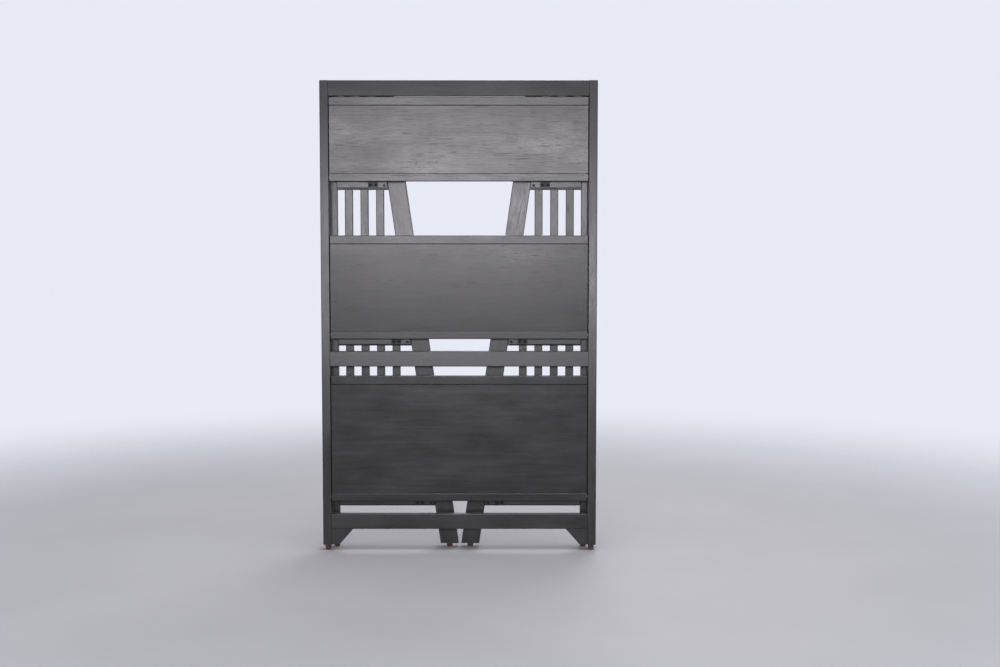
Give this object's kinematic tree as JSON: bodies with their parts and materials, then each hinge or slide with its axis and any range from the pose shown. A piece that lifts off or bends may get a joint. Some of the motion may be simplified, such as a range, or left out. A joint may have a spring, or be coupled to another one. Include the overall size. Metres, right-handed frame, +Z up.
{
  "type": "folding bookcase",
  "caption": "Wooden bookcase that folds flat: an open back frame with fold-up shelves and two slatted side panels with slanted front posts.",
  "frame": {"origin": "on the floor, at the middle of the folded bookcase's footprint", "axes": "+Z up, +Y from the wall side to the front, where the side panels and shelves open, +X to the right when seen from the wall side"},
  "size_m": [0.72, 0.066, 1.23],
  "materials": {
    "frame_wood": "charcoal grey stain, satin",
    "shelf_panel_wood": "charcoal grey stain, satin, grain along the shelf",
    "black_steel": "black, semi-matte",
    "bare_steel": "zinc plated",
    "glide": "moulded, reddish brown"
  },
  "bodies": {
    "back_frame": {"back_stile_left": "frame_wood", "back_stile_right": "frame_wood", "back_rail_top": "frame_wood", "back_rail_middle": "frame_wood", "back_rail_bottom": "frame_wood", "foot_bracket_left": "frame_wood", "foot_bracket_right": "frame_wood", "back_glides": "glide", "frame_hinge_leaves": "black_steel", "frame_hinge_screws": "black_steel"},
    "left_side": {"left_rear_post": "frame_wood", "left_front_post": "frame_wood", "left_top_rail": "frame_wood", "left_level_rail_upper": "frame_wood", "left_level_rail_middle": "frame_wood", "left_level_rail_lower": "frame_wood", "left_cleat_upper": "frame_wood", "left_cleat_middle": "frame_wood", "left_cleat_lower": "frame_wood", "left_slats_upper": "frame_wood", "left_slats_middle": "frame_wood", "left_slats_lower": "frame_wood", "left_keepers": "black_steel", "left_screws": "black_steel", "left_hinge_leaves": "black_steel", "left_hinge_pins": "bare_steel", "left_glides": "glide"},
    "right_side": {"right_rear_post": "frame_wood", "right_front_post": "frame_wood", "right_top_rail": "frame_wood", "right_level_rail_upper": "frame_wood", "right_level_rail_middle": "frame_wood", "right_level_rail_lower": "frame_wood", "right_cleat_upper": "frame_wood", "right_cleat_middle": "frame_wood", "right_cleat_lower": "frame_wood", "right_slats_upper": "frame_wood", "right_slats_middle": "frame_wood", "right_slats_lower": "frame_wood", "right_keepers": "black_steel", "right_screws": "black_steel", "right_hinge_leaves": "black_steel", "right_hinge_pins": "bare_steel", "right_glides": "glide"},
    "upper_shelf": {"upper_shelf_panel": "shelf_panel_wood", "upper_shelf_front_strip": "frame_wood", "upper_shelf_rear_strip": "frame_wood", "upper_shelf_pins": "bare_steel", "upper_shelf_magnets": "bare_steel"},
    "middle_shelf": {"middle_shelf_panel": "shelf_panel_wood", "middle_shelf_front_strip": "frame_wood", "middle_shelf_rear_strip": "frame_wood", "middle_shelf_pins": "bare_steel", "middle_shelf_magnets": "bare_steel"},
    "lower_shelf": {"lower_shelf_panel": "shelf_panel_wood", "lower_shelf_front_strip": "frame_wood", "lower_shelf_rear_strip": "frame_wood", "lower_shelf_pins": "bare_steel", "lower_shelf_magnets": "bare_steel"}
  },
  "joints": [
    {"name": "left_side_fold", "type": "hinge", "parent": "back_frame", "child": "left_side", "pos_m": [-0.338, 0.0125, 0.6], "axis": [0, 0, 1], "range_deg": [0, 90]},
    {"name": "right_side_fold", "type": "hinge", "parent": "back_frame", "child": "right_side", "pos_m": [0.338, 0.0125, 0.6], "axis": [0, 0, -1], "range_deg": [0, 90]},
    {"name": "upper_shelf_fold", "type": "hinge", "parent": "back_frame", "child": "upper_shelf", "pos_m": [0, -0.022, 0.9812], "axis": [-1, 0, 0], "range_deg": [0, 6.5]},
    {"name": "middle_shelf_fold", "type": "hinge", "parent": "back_frame", "child": "middle_shelf", "pos_m": [0, -0.022, 0.5707], "axis": [-1, 0, 0], "range_deg": [0, 5.2]},
    {"name": "lower_shelf_fold", "type": "hinge", "parent": "back_frame", "child": "lower_shelf", "pos_m": [0, -0.022, 0.1422], "axis": [-1, 0, 0], "range_deg": [0, 4.2]}
  ]
}
